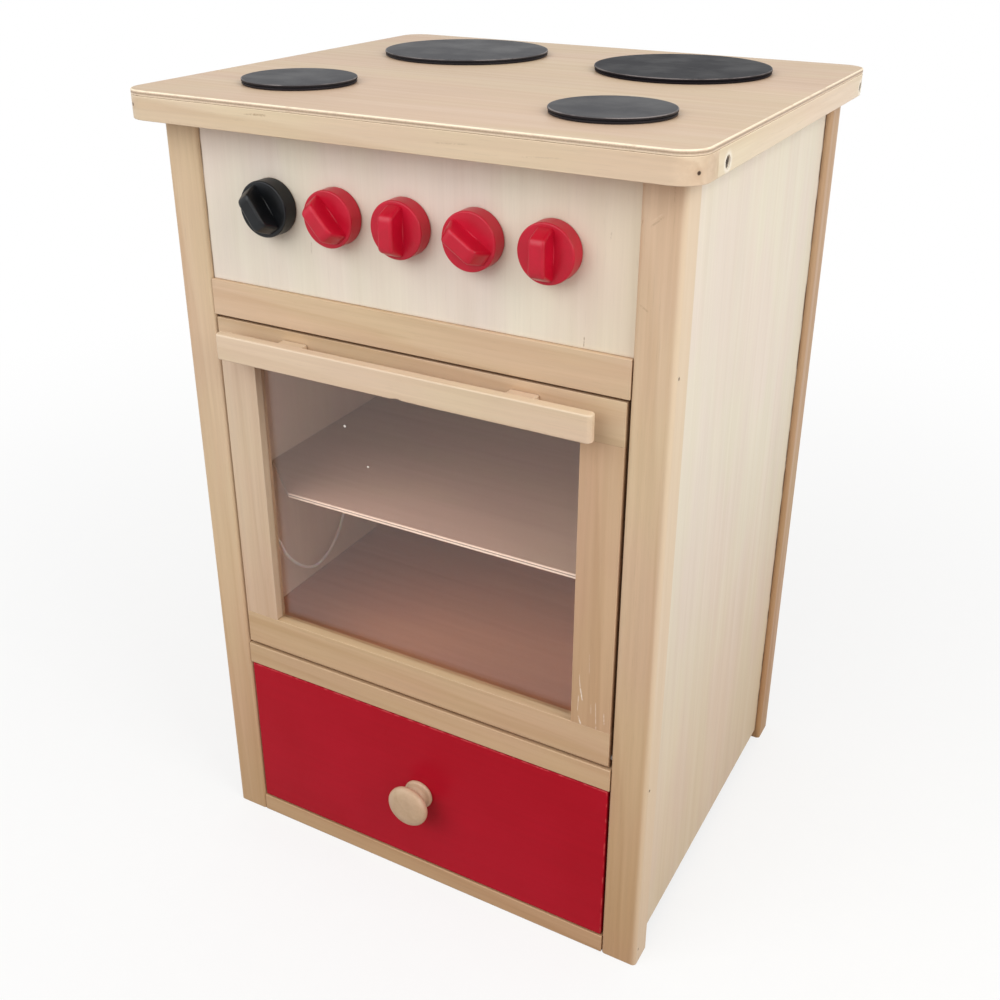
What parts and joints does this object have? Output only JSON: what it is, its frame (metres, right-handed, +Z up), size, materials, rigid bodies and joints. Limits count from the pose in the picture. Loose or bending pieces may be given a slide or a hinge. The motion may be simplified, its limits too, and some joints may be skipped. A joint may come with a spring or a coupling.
{
  "type": "toy oven",
  "caption": "Wooden toy cooker with an oven behind a glazed drop-down door, a red drawer, turning control knobs and round cooking plates on a plywood worktop.",
  "frame": {"origin": "On the floor under the middle of the worktop's outline", "axes": "+Z up, -Y towards the front with the door and the drawer, +X to the right seen from the front"},
  "size_m": [0.3966, 0.3518, 0.6048],
  "materials": {
    "solid_wood": "clear lacquered pine, satin",
    "pale_plywood": "pale birch plywood, thin clear lacquer",
    "top_wood": "clear lacquered pine, satin",
    "top_plywood": "birch plywood sheet, satin lacquer",
    "handle_wood": "pale sanded wood, satin",
    "red_paint": "red lacquer on a wooden board, satin",
    "red_plastic": "glossy red moulded plastic",
    "black_plastic": "glossy black moulded plastic",
    "plate_black": "dark grey painted board, worn along the rim",
    "clear_pane": "clear acrylic pane",
    "screw_steel": "zinc plated steel",
    "catch_plastic": "white moulded plastic",
    "stay_cord": "pale twisted cord"
  },
  "bodies": {
    "carcass": {"front_left_post": "solid_wood", "front_right_post": "solid_wood", "rear_left_post": "solid_wood", "rear_right_post": "solid_wood", "left_side_panel": "pale_plywood", "right_side_panel": "pale_plywood", "back_panel": "pale_plywood", "control_panel": "pale_plywood", "control_panel_cleats": "solid_wood", "control_rail": "solid_wood", "middle_rail": "solid_wood", "bottom_rail": "solid_wood", "oven_floor": "pale_plywood", "oven_ceiling": "pale_plywood", "shelf": "pale_plywood", "floor_cleats": "solid_wood", "shelf_cleats": "solid_wood", "ceiling_cleats": "solid_wood", "top_front_rail": "top_wood", "top_rear_rail": "top_wood", "top_left_rail": "top_wood", "top_right_rail": "top_wood", "top_sheet": "top_plywood", "top_fixing_blocks": "solid_wood", "top_rail_screws": "screw_steel", "post_nails": "screw_steel", "front_left_plate": "plate_black", "front_right_plate": "plate_black", "rear_left_plate": "plate_black", "rear_right_plate": "plate_black", "catch_magnet": "catch_plastic", "stay_cord": "stay_cord", "stay_wall_screw": "screw_steel", "drawer_runners": "solid_wood"},
    "control_knob_1": {"knob_1": "black_plastic"},
    "control_knob_2": {"knob_2": "red_plastic"},
    "control_knob_3": {"knob_3": "red_plastic"},
    "control_knob_4": {"knob_4": "red_plastic"},
    "control_knob_5": {"knob_5": "red_plastic"},
    "door": {"door_top_rail": "solid_wood", "door_bottom_rail": "solid_wood", "door_left_stile": "solid_wood", "door_right_stile": "solid_wood", "door_dowels": "solid_wood", "window_pane": "clear_pane", "handle_bar": "handle_wood", "handle_standoffs": "handle_wood", "handle_screws": "screw_steel", "door_hinge_pins": "screw_steel", "catch_strike_plate": "screw_steel", "stay_door_screw": "screw_steel"},
    "drawer": {"drawer_front": "red_paint", "drawer_left_side": "pale_plywood", "drawer_right_side": "pale_plywood", "drawer_back": "pale_plywood", "drawer_bottom": "pale_plywood", "drawer_knob": "solid_wood", "drawer_knob_screw": "screw_steel"}
  },
  "joints": [
    {"name": "door_hinge", "type": "hinge", "parent": "carcass", "child": "door", "pos_m": [0, -0.14715, 0.179], "axis": [1, 0, 0], "range_deg": [0, 90], "deforming": ["stay_cord"]},
    {"name": "drawer_slide", "type": "slide", "parent": "carcass", "child": "drawer", "axis": [0, -1, 0], "range_m": [0, 0.2]},
    {"name": "knob_1_turn", "type": "hinge", "parent": "carcass", "child": "control_knob_1", "pos_m": [-0.0995, -0.15015, 0.531], "axis": [0, -1, 0], "continuous": true},
    {"name": "knob_2_turn", "type": "hinge", "parent": "carcass", "child": "control_knob_2", "pos_m": [-0.0485, -0.15015, 0.531], "axis": [0, -1, 0], "continuous": true},
    {"name": "knob_3_turn", "type": "hinge", "parent": "carcass", "child": "control_knob_3", "pos_m": [0.0025, -0.15015, 0.531], "axis": [0, -1, 0], "continuous": true},
    {"name": "knob_4_turn", "type": "hinge", "parent": "carcass", "child": "control_knob_4", "pos_m": [0.0535, -0.15015, 0.531], "axis": [0, -1, 0], "continuous": true},
    {"name": "knob_5_turn", "type": "hinge", "parent": "carcass", "child": "control_knob_5", "pos_m": [0.1045, -0.15015, 0.531], "axis": [0, -1, 0], "continuous": true}
  ]
}
